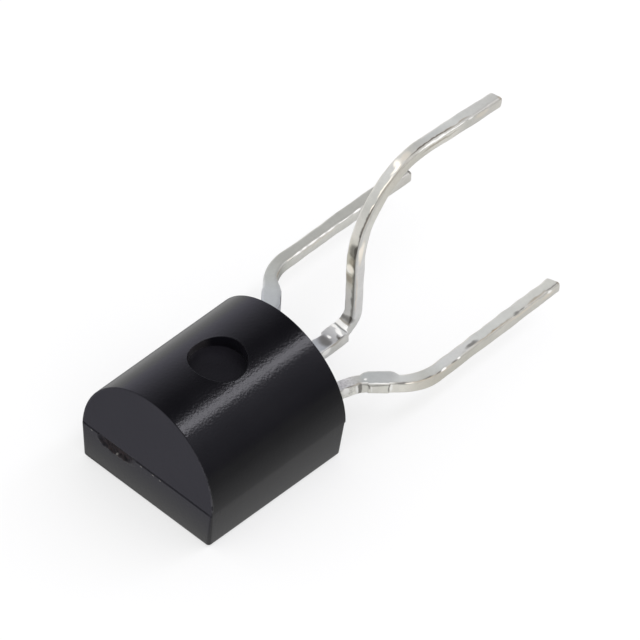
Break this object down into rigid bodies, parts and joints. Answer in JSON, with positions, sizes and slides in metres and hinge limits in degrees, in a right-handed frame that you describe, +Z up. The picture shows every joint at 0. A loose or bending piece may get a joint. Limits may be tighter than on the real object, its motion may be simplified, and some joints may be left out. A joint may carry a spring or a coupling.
{
  "type": "triac",
  "caption": "Half-round moulded through-hole triac lying on its flat face, outer leads splayed wide and the centre lead bent up and back.",
  "frame": {"origin": "centre of the flat face, which lies on the ground", "axes": "+Z up through the dome, +Y from the plain end towards the leads, +X across the body to the main terminal's lead"},
  "size_m": [0.006, 0.0129, 0.0065],
  "materials": {
    "moulded_epoxy": "black moulded epoxy, satin, fine mould grain",
    "tinned_lead": "bright tin plating over the stamped strip",
    "silicon": "polished silicon, opaque",
    "solder": "dull solder",
    "aluminium_wire": "drawn aluminium wire"
  },
  "bodies": {
    "root": {"moulded_body": "moulded_epoxy", "flag_lead": "tinned_lead", "gate_lead": "tinned_lead", "terminal_lead": "tinned_lead", "triac_die": "silicon", "die_solder": "solder", "terminal_bond_wire": "aluminium_wire", "gate_bond_wire": "aluminium_wire"}
  },
  "joints": []
}
